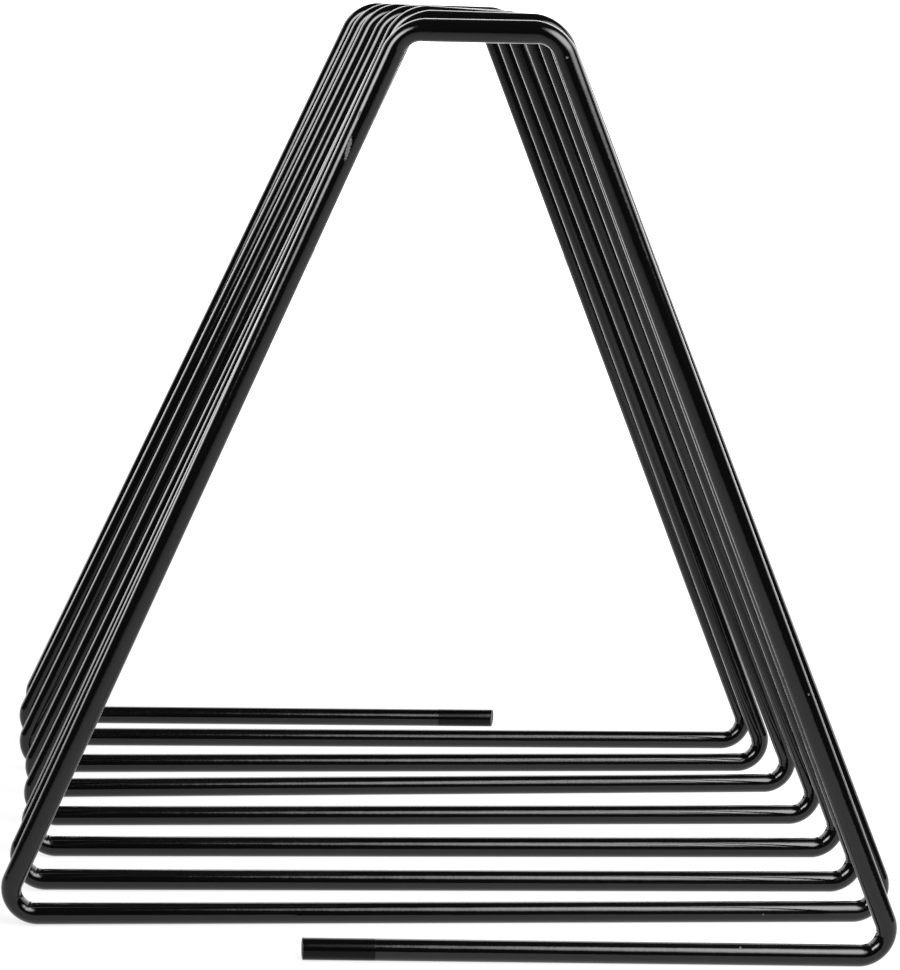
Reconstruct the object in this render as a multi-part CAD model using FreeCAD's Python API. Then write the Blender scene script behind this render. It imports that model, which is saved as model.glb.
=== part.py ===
import FreeCAD, Part
import math
import os

# Coil rack: one steel rod bent by hand into eight upright flat-topped triangles that advance
# from front to back, with a plastic cap on each free end.
# Frame: +X right, +Y to the back, +Z up, origin at the centre of the footprint, millimetres.

ROD_D = 6.0
ROD_R = ROD_D / 2
TURNS = 8
PITCH = 27.7              # from one turn to the next
FRONT_Y = -108.0          # nominal front floor corner

FLOOR_HALF = 126.0        # nominal floor corners, where the centre lines would cross
TOP_HALF = 19.5           # nominal top corners
TOP_SHIFT = 4.0           # the top of the coil leans this far to the right
TOP_Z = 249.5             # centre line of the top bars
FLOOR_Z = ROD_R           # centre line of the floor bars

FLOOR_BEND_R = 7.2        # bend radii, to the centre line
TOP_BEND_R = 8.7

# How far round its turn each corner comes, as a share of the pitch
FLOOR_RIGHT_PHASE = 0.0
TOP_RIGHT_PHASE = 0.345
TOP_LEFT_PHASE = 0.71
FLOOR_LEFT_PHASE = 1.03

# The turns are bent by hand. How far each corner misses its nominal place, front turn first.
FLOOR_RIGHT_DX = [-4.0, 2.8, 1.8, 3.3, 3.5, 2.5, -2.0, -2.5]
FLOOR_RIGHT_DY = [-5.5, 0.5, -3.0, -1.0, 2.5, 7.0, 1.5, -1.0]
TOP_RIGHT_DX = [-3.4, 0.0, 2.9, 3.6, 2.7, 0.7, 0.1, -0.8]
TOP_RIGHT_DZ = [-0.6, 0.5, -0.4, -1.3, -0.8, -0.3, -0.8, -2.1]
TOP_LEFT_DX = [-3.5, 0.3, 1.6, 3.8, 2.0, -0.2, -1.2, -2.7]
TOP_LEFT_DZ = [-1.3, 0.3, 1.2, 0.3, -0.1, -0.5, -1.0, -1.3]
FLOOR_LEFT_DX = [2.0, 2.5, 4.0, 2.8, 1.5, -2.0, -4.0, -3.4]
FLOOR_LEFT_DY = [1.0, 0.5, 1.0, 1.0, 0.5, -1.5, 0.5, -1.0]

FRONT_BAR_SLANT = 0.048   # the free bars run this much to the front for each mm to the right
REAR_BAR_SLANT = 0.019
FRONT_END_X = -41.0       # free end of the front floor bar, cap included
REAR_END_X = 36.0         # free end of the rear floor bar, cap included

CAP_LENGTH = 20.0         # the caps are flush with the rod
CAP_BORE_D = 4.5
CAP_BORE_DEPTH = 17.0
CAP_EDGE_R = 0.4
SPIGOT_D = 4.4            # the rod's turned-down end, inside its cap
SPIGOT_LENGTH = 16.5


def turn_corners(turn):
    """Corners and bend radii of one turn, as the rod takes them: right, up, over the top, down."""
    y = FRONT_Y + turn * PITCH
    floor_right = FreeCAD.Vector(FLOOR_HALF + FLOOR_RIGHT_DX[turn],
                                 y + FLOOR_RIGHT_PHASE * PITCH + FLOOR_RIGHT_DY[turn], FLOOR_Z)
    top_right = FreeCAD.Vector(TOP_SHIFT + TOP_HALF + TOP_RIGHT_DX[turn],
                               y + TOP_RIGHT_PHASE * PITCH, TOP_Z + TOP_RIGHT_DZ[turn])
    top_left = FreeCAD.Vector(TOP_SHIFT - TOP_HALF + TOP_LEFT_DX[turn],
                              y + TOP_LEFT_PHASE * PITCH, TOP_Z + TOP_LEFT_DZ[turn])
    floor_left = FreeCAD.Vector(-FLOOR_HALF + FLOOR_LEFT_DX[turn],
                                y + FLOOR_LEFT_PHASE * PITCH + FLOOR_LEFT_DY[turn], FLOOR_Z)
    return [(floor_right, FLOOR_BEND_R), (top_right, TOP_BEND_R),
            (top_left, TOP_BEND_R), (floor_left, FLOOR_BEND_R)]


def on_line(start, end, x):
    """The point at a given X on the line through two points."""
    return start + (end - start) * ((x - start.x) / (end.x - start.x))


def rod_face(point, direction, radius):
    """A round face across the rod."""
    return Part.Face(Part.Wire(Part.makeCircle(radius, point, direction)))


def bent_rod(start, corners, end):
    """A round rod from start to end, straight between the corners and bent at each one."""
    pieces = []
    here = start
    for index, (corner, bend_radius) in enumerate(corners):
        after = corners[index + 1][0] if index + 1 < len(corners) else end
        into = (corner - here).normalize()
        out = (after - corner).normalize()
        turned = into.getAngle(out)
        set_back = bend_radius * math.tan(turned / 2)
        bend_start = corner - into * set_back
        bend_end = corner + out * set_back
        axis = into.cross(out).normalize()
        centre = bend_start + axis.cross(into) * bend_radius
        pieces.append(rod_face(here, into, ROD_R).extrude(bend_start - here))
        pieces.append(rod_face(bend_start, into, ROD_R).revolve(centre, axis, math.degrees(turned)))
        here = bend_end
    pieces.append(rod_face(here, (end - here).normalize(), ROD_R).extrude(end - here))
    return pieces[0].multiFuse(pieces[1:]).Solids[0]


def spigot(shoulder, direction):
    """The turned-down end of the rod that a cap slides over."""
    return Part.makeCylinder(SPIGOT_D / 2, SPIGOT_LENGTH, shoulder, direction)


def end_cap(shoulder, direction):
    """A flush cap with a blind bore and a softened outer edge."""
    body = Part.makeCylinder(ROD_R, CAP_LENGTH, shoulder, direction)
    tip = shoulder + direction * CAP_LENGTH
    rim = [edge for edge in body.Edges
           if edge.Curve.TypeId == "Part::GeomCircle" and edge.Curve.Center.distanceToPoint(tip) < 0.01]
    body = body.makeFillet(CAP_EDGE_R, rim)
    return body.cut(Part.makeCylinder(CAP_BORE_D / 2, CAP_BORE_DEPTH, shoulder, direction))


def free_end(corner, end_x, slant):
    """Where a free bar stops: the rod's shoulder under the cap, and the way the bar points."""
    way = math.copysign(1.0, end_x - corner.x)
    direction = FreeCAD.Vector(way, -way * slant, 0).normalize()
    tip = corner + direction * ((end_x - corner.x) / direction.x)
    return tip - direction * CAP_LENGTH, direction


os.makedirs("parts", exist_ok=True)
turns = [turn_corners(turn) for turn in range(TURNS)]
front_shoulder, front_direction = free_end(turns[0][0][0], FRONT_END_X, FRONT_BAR_SLANT)
rear_shoulder, rear_direction = free_end(turns[-1][-1][0], REAR_END_X, REAR_BAR_SLANT)

# The rod is cut into its turns halfway along each floor bar, so the pieces meet face to face
cuts = [on_line(turns[i][-1][0], turns[i + 1][0][0], 0) for i in range(TURNS - 1)]
starts = [front_shoulder] + cuts
ends = cuts + [rear_shoulder]

nodes = {}
for turn in range(TURNS):
    nodes["rod_turn_%d" % (turn + 1)] = bent_rod(starts[turn], turns[turn], ends[turn])
first, last = "rod_turn_1", "rod_turn_%d" % TURNS
nodes[first] = nodes[first].fuse(spigot(front_shoulder, front_direction)).Solids[0]
nodes[last] = nodes[last].fuse(spigot(rear_shoulder, rear_direction)).Solids[0]
nodes["front_end_cap"] = end_cap(front_shoulder, front_direction)
nodes["rear_end_cap"] = end_cap(rear_shoulder, rear_direction)

for name, shape in nodes.items():
    shape.exportStep("parts/%s.step" % name)

whole = Part.makeCompound(list(nodes.values())).optimalBoundingBox(False, False)
steel = sum(nodes["rod_turn_%d" % (turn + 1)].Volume for turn in range(TURNS))
print("box", [round(v, 2) for v in (whole.XMin, whole.YMin, whole.ZMin, whole.XMax, whole.YMax, whole.ZMax)])
print("steel", round(steel * 7.85e-6, 3), "kg, rod length", round(steel / (math.pi * ROD_R ** 2)), "mm")
print("valid", all(shape.isValid() for shape in nodes.values()))
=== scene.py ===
import math
from collections import namedtuple

import bmesh
import bpy
from mathutils import Matrix, Vector


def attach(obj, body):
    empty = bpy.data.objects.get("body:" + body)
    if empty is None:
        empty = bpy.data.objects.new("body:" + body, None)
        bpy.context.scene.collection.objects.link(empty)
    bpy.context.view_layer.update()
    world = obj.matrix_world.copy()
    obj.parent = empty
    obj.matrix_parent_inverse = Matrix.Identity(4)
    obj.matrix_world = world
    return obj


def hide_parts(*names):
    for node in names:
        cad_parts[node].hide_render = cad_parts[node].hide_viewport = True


# Coil rack: one gloss black steel rod bent into eight upright flat-topped triangles, with a satin
# plastic cap on each free end. The sizes are those of the CAD model, given here in millimetres.
MM = 0.001

# The coil
ROD_R = 3.0
TURNS = 8
PITCH = 27.7
FRONT_Y = -108.0          # nominal front floor corner
FLOOR_HALF = 126.0        # nominal floor corners
TOP_HALF = 19.5           # nominal top corners
TOP_SHIFT = 4.0           # the top leans this far to the right
TOP_Z = 249.5
FLOOR_BEND_R = 7.2        # bend radii, to the centre line
TOP_BEND_R = 8.7

# How far round its turn each corner comes, as a share of the pitch
FLOOR_RIGHT_PHASE = 0.0
TOP_RIGHT_PHASE = 0.345
TOP_LEFT_PHASE = 0.71
FLOOR_LEFT_PHASE = 1.03

# How far each hand-bent corner misses its nominal place, front turn first
FLOOR_RIGHT_DX = [-4.0, 2.8, 1.8, 3.3, 3.5, 2.5, -2.0, -2.5]
FLOOR_RIGHT_DY = [-5.5, 0.5, -3.0, -1.0, 2.5, 7.0, 1.5, -1.0]
TOP_RIGHT_DX = [-3.4, 0.0, 2.9, 3.6, 2.7, 0.7, 0.1, -0.8]
TOP_RIGHT_DZ = [-0.6, 0.5, -0.4, -1.3, -0.8, -0.3, -0.8, -2.1]
TOP_LEFT_DX = [-3.5, 0.3, 1.6, 3.8, 2.0, -0.2, -1.2, -2.7]
TOP_LEFT_DZ = [-1.3, 0.3, 1.2, 0.3, -0.1, -0.5, -1.0, -1.3]
FLOOR_LEFT_DX = [2.0, 2.5, 4.0, 2.8, 1.5, -2.0, -4.0, -3.4]
FLOOR_LEFT_DY = [1.0, 0.5, 1.0, 1.0, 0.5, -1.5, 0.5, -1.0]

FRONT_BAR_SLANT = 0.048   # the free bars run this much to the front for each mm to the right
REAR_BAR_SLANT = 0.019
FRONT_END_X = -41.0       # free ends, caps included
REAR_END_X = 36.0

# How the rod's skin is drawn
AROUND = 40               # facets round the rod
STRAIGHT_STEP = 12.0      # rings along the straights
TOP_BEND_STEPS = 20       # rings round a top bend
FLOOR_BEND_STEPS = 48     # rings round a floor bend, fine enough for its creases
BEND_FLATTENING = 0.10    # a cold bend is this much thinner across its middle
BEND_WIDENING = 0.04      # and this much wider the other way
CREASE_DEPTH = 0.20       # the bender presses two small creases inside each floor bend
CREASE_PLACE = 0.28       # how far each is from its end of the bend, as a share of the bend
CREASE_HALF = 0.055       # half its length, as a share of the bend

# The end caps
CAP_LENGTH = 20.0
CAP_EDGE_R = 0.2
CAP_DISH = 0.45           # how far the end face is dished
CAP_DISH_MIDDLE_R = 0.1   # the flat spot in the middle of the dish
CAP_ARC_STEPS = 5         # rings round the edge
CAP_DISH_STEPS = 6        # rings down the dish
FRONT_CAP_LEAN = 4.5      # degrees that the end face is turned, seen from above
REAR_CAP_LEAN = -14.0

# Rings along the side of a cap: how far from the rod, and how much thinner than the rod
CAP_SIDE = [(0.0, 0.05), (0.05, 0.01), (0.1, 0.0), (0.2, 0.0),
            (0.5, 0.0), (6.0, 0.0), (12.0, 0.0), (18.0, 0.0)]

# Worn spots in the paint: the place in millimetres, how far it leans from upright in degrees,
# and its half sizes across, into and along
PAINT_CHIPS = [
    ((-32.6, -90.0, 217.3), 14.0, (0.48, 2.0, 3.1)),
    ((-29.9, -90.3, 226.0), 15.0, (0.20, 2.0, 1.1)),
    ((22.2, -101.7, 242.8), 0.0, (0.30, 2.0, 0.28)),
    ((93.0, -111.7, 76.7), 0.0, (0.28, 2.0, 0.25)),
    ((91.2, -82.6, 3.3), 0.0, (0.30, 2.0, 0.25)),
    ((78.1, -113.0, 5.5), 0.0, (0.26, 2.0, 0.24)),
]

# How much light the paint and the cap plastic scatter, from 0 to 1
BLACK = 0.0006

# A cross-section: where it is, the way the rod runs there, its radius, the way to a bend's middle,
# how far into the bend it is (0 at its ends, 1 halfway round) and how deep its crease is there
Ring = namedtuple("Ring", "point along radius inward bent pinch")


# ---------------------------------------------------------------- shape

def turn_corners(turn):
    """Corners and bend radii of one turn: floor right, top right, top left, floor left."""
    y = FRONT_Y + turn * PITCH
    return [
        (Vector((FLOOR_HALF + FLOOR_RIGHT_DX[turn],
                 y + FLOOR_RIGHT_PHASE * PITCH + FLOOR_RIGHT_DY[turn], ROD_R)), FLOOR_BEND_R),
        (Vector((TOP_SHIFT + TOP_HALF + TOP_RIGHT_DX[turn],
                 y + TOP_RIGHT_PHASE * PITCH, TOP_Z + TOP_RIGHT_DZ[turn])), TOP_BEND_R),
        (Vector((TOP_SHIFT - TOP_HALF + TOP_LEFT_DX[turn],
                 y + TOP_LEFT_PHASE * PITCH, TOP_Z + TOP_LEFT_DZ[turn])), TOP_BEND_R),
        (Vector((-FLOOR_HALF + FLOOR_LEFT_DX[turn],
                 y + FLOOR_LEFT_PHASE * PITCH + FLOOR_LEFT_DY[turn], ROD_R)), FLOOR_BEND_R),
    ]


def free_end(corner, end_x, slant):
    """The rod's shoulder under a cap and the way the free bar points."""
    way = math.copysign(1.0, end_x - corner.x)
    direction = Vector((way, -way * slant, 0)).normalized()
    tip = corner + direction * ((end_x - corner.x) / direction.x)
    return tip - direction * CAP_LENGTH, direction


def plain_ring(point, along, radius=ROD_R):
    """A round ring across a straight stretch."""
    return Ring(point, along, radius, Vector((0, 0, 0)), 0.0, 0.0)


def straight_rings(start, end):
    """Rings along a straight stretch, its two ends left out."""
    count = max(2, round((end - start).length / STRAIGHT_STEP))
    along = (end - start).normalized()
    return [plain_ring(start.lerp(end, i / count), along) for i in range(1, count)]


def crease_depth(share):
    """How deep the inside of a floor bend is creased at a share of the way round it."""
    from_end = min(share, 1 - share)
    off = min(1.0, abs(from_end - CREASE_PLACE) / CREASE_HALF)
    return CREASE_DEPTH * math.cos(math.pi / 2 * off) ** 2


def bend_rings(corner, into, out, radius):
    """Rings round a bend; the tight bends at the floor have their creases."""
    turned = into.angle(out)
    axis = into.cross(out).normalized()
    start = corner - into * (radius * math.tan(turned / 2))
    centre = start + axis.cross(into) * radius
    at_floor = radius == FLOOR_BEND_R
    steps = FLOOR_BEND_STEPS if at_floor else TOP_BEND_STEPS
    rings = []
    for i in range(steps + 1):
        share = i / steps
        spin = Matrix.Rotation(turned * share, 3, axis)
        point = centre + spin @ (start - centre)
        inward = (centre - point).normalized()
        pinch = crease_depth(share) if at_floor else 0.0
        rings.append(Ring(point, spin @ into, ROD_R, inward, math.sin(math.pi * share), pinch))
    return rings


def rod_rings(start, corners, end):
    """Every ring of the rod from one free end to the other."""
    points = [start] + [corner for corner, _ in corners] + [end]
    rings = [plain_ring(start, (points[1] - start).normalized())]
    for index, (corner, radius) in enumerate(corners):
        into = (corner - points[index]).normalized()
        out = (points[index + 2] - corner).normalized()
        bend = bend_rings(corner, into, out, radius)
        rings += straight_rings(rings[-1].point, bend[0].point) + bend
    rings += straight_rings(rings[-1].point, end)
    rings.append(plain_ring(end, (end - points[-2]).normalized()))
    return rings


def skin(name, rings, material):
    """A closed round skin over rings; the cross-section is carried along without twisting."""
    mesh = bmesh.new()
    side = rings[0].along.orthogonal().normalized()
    loops = []
    for ring in rings:
        side = (side - ring.along * side.dot(ring.along)).normalized()
        other = ring.along.cross(side)
        loop = []
        for i in range(AROUND):
            angle = 2 * math.pi * i / AROUND
            offset = (side * math.cos(angle) + other * math.sin(angle)) * ring.radius
            depth = offset.dot(ring.inward)
            thin = ring.inward * depth
            wide = offset - thin
            offset = thin * (1 - BEND_FLATTENING * ring.bent) + wide * (1 + BEND_WIDENING * ring.bent)
            offset -= ring.inward * (ring.pinch * max(0.0, depth / ring.radius) ** 2)
            loop.append(mesh.verts.new((ring.point + offset) * MM))
        loops.append(loop)
    for first, second in zip(loops, loops[1:]):
        for i in range(AROUND):
            j = (i + 1) % AROUND
            mesh.faces.new((first[i], first[j], second[j], second[i]))
    for end in (mesh.faces.new(list(reversed(loops[0]))), mesh.faces.new(loops[-1])):
        for edge in end.edges:
            edge.smooth = False
    bmesh.ops.recalc_face_normals(mesh, faces=mesh.faces)
    data = bpy.data.meshes.new(name)
    mesh.to_mesh(data)
    mesh.free()
    for face in data.polygons:
        face.use_smooth = len(face.vertices) == 4
    data.materials.append(material)
    piece = bpy.data.objects.new(name, data)
    bpy.context.collection.objects.link(piece)
    return piece


def cap_rings(shoulder, direction, lean):
    """Rings of an end cap: a fine groove at the rod, a rounded far edge and a dished end face."""
    end_way = Matrix.Rotation(math.radians(lean), 3, "Z") @ direction
    end_x = CAP_LENGTH - ROD_R * abs(math.sin(math.radians(lean)))
    rings = [plain_ring(shoulder + direction * x, direction, ROD_R - thinner) for x, thinner in CAP_SIDE]
    for i in range(CAP_ARC_STEPS + 1):
        angle = math.pi / 2 * i / CAP_ARC_STEPS
        x = end_x - CAP_EDGE_R * (1 - math.sin(angle))
        radius = ROD_R - CAP_EDGE_R * (1 - math.cos(angle))
        rings.append(plain_ring(shoulder + direction * x, end_way, radius))
    dish_r = ROD_R - CAP_EDGE_R - CAP_DISH_MIDDLE_R
    for i in range(1, CAP_DISH_STEPS + 1):
        angle = math.pi / 2 * i / CAP_DISH_STEPS
        x = end_x - CAP_DISH * math.sin(angle)
        radius = CAP_DISH_MIDDLE_R + dish_r * math.cos(angle)
        rings.append(plain_ring(shoulder + direction * x, end_way, radius))
    return rings


# ---------------------------------------------------------------- materials

def node(tree, kind, **settings):
    """Adds a shader node with the given attributes."""
    made = tree.nodes.new(kind)
    for key, value in settings.items():
        setattr(made, key, value)
    return made


def feed(tree, socket, value):
    """Sets a socket to a number or links another node's output to it."""
    if isinstance(value, (float, int)):
        socket.default_value = value
    else:
        tree.links.new(value, socket)


def new_material(name):
    """A new material, its node tree and its Principled shader."""
    material = bpy.data.materials.new(name)
    material.use_nodes = True
    return material, material.node_tree, material.node_tree.nodes["Principled BSDF"]


def object_space(tree):
    """Coordinates in metres that stay with the object."""
    return node(tree, "ShaderNodeTexCoord").outputs["Object"]


def noise(tree, coords, scale, detail):
    """A noise texture in object space; scale is in features per metre."""
    made = node(tree, "ShaderNodeTexNoise")
    made.inputs["Scale"].default_value = scale
    made.inputs["Detail"].default_value = detail
    tree.links.new(coords, made.inputs["Vector"])
    return made.outputs["Fac"]


def span(tree, value, low, high, start=0.0, end=1.0, smooth=False):
    """Maps a value that goes from start to end onto low to high, and no further."""
    made = node(tree, "ShaderNodeMapRange", interpolation_type="SMOOTHSTEP" if smooth else "LINEAR")
    for socket, number in (("From Min", start), ("From Max", end), ("To Min", low), ("To Max", high)):
        made.inputs[socket].default_value = number
    tree.links.new(value, made.inputs["Value"])
    return made.outputs["Result"]


def bump(tree, height, strength, distance, under=None):
    """A bump from a height, over an earlier bump if there is one."""
    made = node(tree, "ShaderNodeBump")
    made.inputs["Strength"].default_value = strength
    made.inputs["Distance"].default_value = distance
    tree.links.new(height, made.inputs["Height"])
    if under is not None:
        tree.links.new(under, made.inputs["Normal"])
    return made.outputs["Normal"]


def blend(tree, share, first, second):
    """Goes from the first value to the second as the share goes from 0 to 1."""
    made = node(tree, "ShaderNodeMix")
    feed(tree, made.inputs["Factor"], share)
    feed(tree, made.inputs["A"], first)
    feed(tree, made.inputs["B"], second)
    return made.outputs["Result"]


def arithmetic(tree, operation, first, second):
    """The sum, difference, product or maximum of two values."""
    made = node(tree, "ShaderNodeMath", operation=operation)
    feed(tree, made.inputs[0], first)
    feed(tree, made.inputs[1], second)
    return made.outputs["Value"]


def worn_spots(tree, coords):
    """A mask that is 1 where the paint is chipped or scratched, with ragged edges."""
    ragged = span(tree, noise(tree, coords, scale=1600, detail=2), low=-0.55, high=0.55)
    worn = 0.0
    for place, lean, half_sizes in PAINT_CHIPS:
        local = node(tree, "ShaderNodeMapping", vector_type="TEXTURE")
        local.inputs["Location"].default_value = Vector(place) * MM
        local.inputs["Rotation"].default_value = (0, math.radians(lean), 0)
        local.inputs["Scale"].default_value = Vector(half_sizes) * MM
        tree.links.new(coords, local.inputs["Vector"])
        reach = node(tree, "ShaderNodeVectorMath", operation="LENGTH")
        tree.links.new(local.outputs["Vector"], reach.inputs[0])
        ragged_reach = arithmetic(tree, "ADD", reach.outputs["Value"], ragged)
        spot = span(tree, ragged_reach, low=1.0, high=0.0, start=0.8, end=1.1, smooth=True)
        worn = arithmetic(tree, "MAXIMUM", worn, spot)
    return worn


def gloss_black_paint():
    """Smooth gloss powder coat: near black, slightly wavy, with a few chips down to the primer."""
    material, tree, shader = new_material("gloss_black_paint")
    coords = object_space(tree)
    worn = worn_spots(tree, coords)
    primer = span(tree, noise(tree, coords, scale=2600, detail=2), low=0.0, high=0.11)
    grey = blend(tree, worn, BLACK, primer)
    shade = node(tree, "ShaderNodeCombineColor")
    for channel in ("Red", "Green", "Blue"):
        tree.links.new(grey, shade.inputs[channel])
    tree.links.new(shade.outputs["Color"], shader.inputs["Base Color"])
    shader.inputs["IOR"].default_value = 1.42
    paint_roughness = span(tree, noise(tree, coords, scale=60, detail=3), low=0.05, high=0.11)
    primer_roughness = 0.6
    tree.links.new(blend(tree, worn, paint_roughness, primer_roughness), shader.inputs["Roughness"])
    peel = bump(tree, noise(tree, coords, scale=700, detail=2), strength=0.05, distance=0.0004)
    waves = bump(tree, noise(tree, coords, scale=90, detail=1), strength=0.05, distance=0.002, under=peel)
    painted = arithmetic(tree, "SUBTRACT", 1.0, worn)
    chips = bump(tree, painted, strength=0.6, distance=0.00008, under=waves)
    tree.links.new(chips, shader.inputs["Normal"])
    return material


def satin_black_plastic():
    """Moulded cap plastic: as black as the paint, but duller and less shiny, with a fine grain."""
    material, tree, shader = new_material("satin_black_plastic")
    coords = object_space(tree)
    shader.inputs["Base Color"].default_value = (BLACK, BLACK, BLACK, 1)
    shader.inputs["IOR"].default_value = 1.34
    shader.inputs["Specular IOR Level"].default_value = 0.25
    roughness = span(tree, noise(tree, coords, scale=300, detail=4), low=0.13, high=0.22)
    tree.links.new(roughness, shader.inputs["Roughness"])
    grain = bump(tree, noise(tree, coords, scale=2500, detail=3), strength=0.08, distance=0.0002)
    tree.links.new(grain, shader.inputs["Normal"])
    return material


def stage_white(name, albedo):
    """Matt white that the boxes light and that glows itself, with its node tree and the socket for
    the strength of its glow."""
    material, tree, shader = new_material(name)
    shader.inputs["Base Color"].default_value = (albedo, albedo, albedo, 1)
    shader.inputs["Roughness"].default_value = 0.8
    shader.inputs["Specular IOR Level"].default_value = 0.0
    shader.inputs["Emission Color"].default_value = (1, 1, 1, 1)
    return material, tree, shader.inputs["Emission Strength"]


# ---------------------------------------------------------------- studio

def stage_mesh(name, points, faces, material):
    """A plain stage surface, which isn't part of the rack."""
    data = bpy.data.meshes.new(name)
    data.from_pydata(points, [], faces)
    data.materials.append(material)
    surface = bpy.data.objects.new(name, data)
    bpy.context.collection.objects.link(surface)
    return surface


def table_glow(tree):
    """Painted light: the table's glow gets stronger to the right, standing in for the right box's light
    falling there, and towards the lit card behind.
    """
    axes = node(tree, "ShaderNodeSeparateXYZ")
    tree.links.new(object_space(tree), axes.inputs["Vector"])
    across, along = axes.outputs["X"], axes.outputs["Y"]
    # painted light: the glow rises to the right as if lit by the right box
    to_right = span(tree, across, low=0.66, high=1.50, start=-0.35, end=0.35)
    from_front = span(tree, along, low=0.30, high=0.76, start=-0.9, end=-0.1)
    near = arithmetic(tree, "MULTIPLY", from_front, to_right)
    under_rack = span(tree, along, low=0.0, high=0.30, start=-0.15, end=0.35)
    at_card = span(tree, along, low=0.0, high=1.12, start=0.35, end=1.0)
    return arithmetic(tree, "ADD", near, arithmetic(tree, "ADD", under_rack, at_card))


def table():
    """The table that the rack stands on. Its dim front part shows only in reflections."""
    left, right, front, middle, back = -0.9, 0.6, -0.95, -0.35, 1.5
    material, tree, glow = stage_white("table_white", albedo=0.12)
    tree.links.new(table_glow(tree), glow)
    for name, near, far in (("table_front", front, middle), ("table_top", middle, back)):
        points = [(left, near, 0), (right, near, 0), (right, far, 0), (left, far, 0)]
        part = stage_mesh(name, points, [(0, 1, 2, 3)], material)
        part.visible_camera = name == "table_top"


def back_card():
    """The white card that curves round behind the table, from the right round to the left."""
    radius, height, steps = 1.6, 1.4, 24
    right_end, left_end = math.radians(103), math.radians(240)
    points = []
    for i in range(steps + 1):
        azimuth = right_end + (left_end - right_end) * i / steps
        x, y = radius * math.sin(azimuth), -radius * math.cos(azimuth)
        points += [(x, y, 0), (x, y, height)]
    faces = [(2 * i, 2 * i + 2, 2 * i + 3, 2 * i + 1) for i in range(steps)]
    material, _, glow = stage_white("card_white", albedo=0.1)
    glow.default_value = 2.5
    stage_mesh("back_card", points, faces, material)


def white_surround():
    """White floor and walls far around, seen directly but left out of the reflections."""
    around, rise_steps = 64, 10
    floor_radius, curve_radius, wall_top, roof_top = 4.0, 2.0, 8.0, 9.0
    level = -0.0005           # just under the table
    hub_radius = 0.01         # the floor and the roof stop this close to the middle
    line = [(hub_radius, level), (floor_radius, level)]
    for i in range(1, rise_steps + 1):
        angle = math.pi / 2 * i / rise_steps
        line.append((floor_radius + curve_radius * math.sin(angle),
                     level + curve_radius * (1 - math.cos(angle))))
    line += [(floor_radius + curve_radius, wall_top), (hub_radius, roof_top)]
    points = []
    for radius, z in line:
        for i in range(around):
            angle = 2 * math.pi * i / around
            points.append((radius * math.cos(angle), radius * math.sin(angle), z))
    faces = []
    for row in range(0, len(points) - around, around):
        for i in range(around):
            j = (i + 1) % around
            faces.append((row + i, row + j, row + around + j, row + around + i))
    material, _, glow = stage_white("surround_white", albedo=0.0)
    glow.default_value = 1.05
    surround = stage_mesh("white_surround", points, faces, material)
    surround.visible_glossy = False
    surround.visible_diffuse = False
    surround.visible_shadow = False


def soft_box(name, azimuth, elevation, distance, width, height, radiance):
    """A soft box that faces the rack and fades to its edges. Its azimuth, in degrees, is from the
    front towards the right."""
    aim = Vector((0, 0, 0.12))      # about the middle of the rack
    turn, rise = math.radians(azimuth), math.radians(elevation)
    place = aim + distance * Vector((math.sin(turn) * math.cos(rise),
                                     -math.cos(turn) * math.cos(rise), math.sin(rise)))
    data = bpy.data.lights.new(name, "AREA")
    data.shape = "RECTANGLE"
    data.size, data.size_y = width, height
    data.energy = math.pi * width * height * radiance      # in watts
    data.use_nodes = True
    tree = data.node_tree
    place_on_box = node(tree, "ShaderNodeNewGeometry").outputs["Parametric"]
    off_middle = node(tree, "ShaderNodeVectorMath", operation="DISTANCE")
    middle = (0.5, 0.5, 0)
    off_middle.inputs[1].default_value = middle
    tree.links.new(place_on_box, off_middle.inputs[0])
    fade = span(tree, off_middle.outputs["Value"], low=1.0, high=0.0, start=0.15, end=0.62, smooth=True)
    tree.links.new(fade, tree.nodes["Emission"].inputs["Strength"])
    light = bpy.data.objects.new(name, data)
    light.location = place
    light.rotation_euler = (aim - place).to_track_quat("-Z", "Y").to_euler()
    light.visible_camera = False
    bpy.context.collection.objects.link(light)


def make_world(brightness):
    """The dim room beyond the studio lights."""
    world = bpy.data.worlds.new("room")
    world.use_nodes = True
    background = world.node_tree.nodes["Background"]
    background.inputs["Color"].default_value = (1, 1, 1, 1)
    background.inputs["Strength"].default_value = brightness
    bpy.context.scene.world = world


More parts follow.
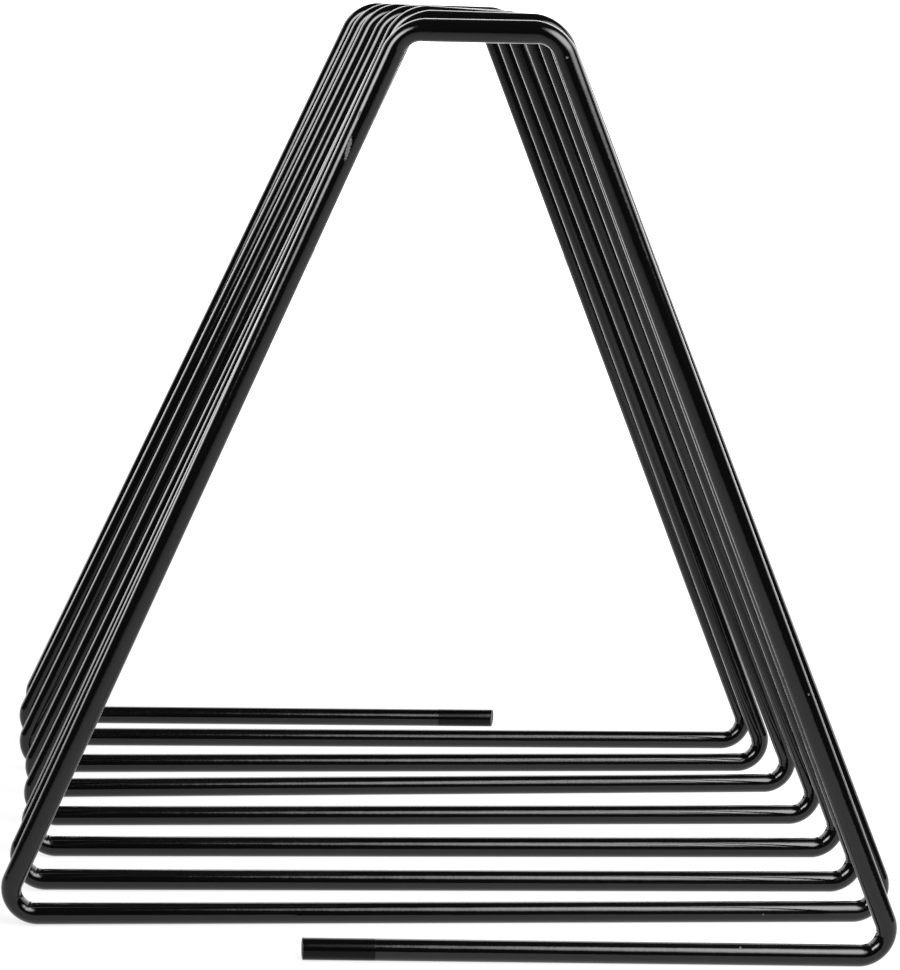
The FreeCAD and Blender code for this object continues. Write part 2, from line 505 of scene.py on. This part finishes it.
def make_camera():
    """The camera: slightly above and left of the rack, a long lens, turned a little to the right."""
    data = bpy.data.cameras.new("camera")
    data.lens = 96.5
    data.sensor_width = 36.0
    data.clip_start, data.clip_end = 0.05, 50
    camera = bpy.data.objects.new("camera", data)
    place = Vector((-0.0732, -0.7695, 0.2681))
    turn_right, tilt_down, roll = math.radians(5.891), math.radians(11.565), math.radians(1.882)
    camera.matrix_world = (Matrix.Translation(place)
                           @ Matrix.Rotation(-turn_right, 4, "Z")
                           @ Matrix.Rotation(math.pi / 2 - tilt_down, 4, "X")
                           @ Matrix.Rotation(roll, 4, "Z"))
    bpy.context.collection.objects.link(camera)
    bpy.context.scene.camera = camera


# ---------------------------------------------------------------- the scene

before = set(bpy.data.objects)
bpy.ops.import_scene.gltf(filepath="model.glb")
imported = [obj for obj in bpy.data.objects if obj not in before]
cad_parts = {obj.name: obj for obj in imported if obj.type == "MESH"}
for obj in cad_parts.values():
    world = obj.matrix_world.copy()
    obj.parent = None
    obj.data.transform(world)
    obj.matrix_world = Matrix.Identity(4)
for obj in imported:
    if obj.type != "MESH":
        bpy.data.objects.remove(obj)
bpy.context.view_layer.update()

make_camera()
make_world(brightness=0.06)
table()
back_card()
white_surround()
soft_box("left_box", azimuth=-48, elevation=30, distance=0.7, width=0.41, height=0.52, radiance=18)
soft_box("right_box", azimuth=40, elevation=43, distance=0.9, width=1.10, height=0.90, radiance=13)
bpy.context.scene.view_settings.view_transform = "Standard"

paint = gloss_black_paint()
plastic = satin_black_plastic()

corners = [corner for turn in range(TURNS) for corner in turn_corners(turn)]
front_shoulder, front_way = free_end(corners[0][0], FRONT_END_X, FRONT_BAR_SLANT)
rear_shoulder, rear_way = free_end(corners[-1][0], REAR_END_X, REAR_BAR_SLANT)

rod = skin("bent_rod", rod_rings(front_shoulder, corners, rear_shoulder), paint)
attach(rod, "root")
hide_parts(*["rod_turn_%d" % (turn + 1) for turn in range(TURNS)])

for name, shoulder, way, lean in (("front_end_cap", front_shoulder, front_way, FRONT_CAP_LEAN),
                                  ("rear_end_cap", rear_shoulder, rear_way, REAR_CAP_LEAN)):
    cap = skin(name + "_skin", cap_rings(shoulder, way, lean), plastic)
    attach(cap, "root")
    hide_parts(name)
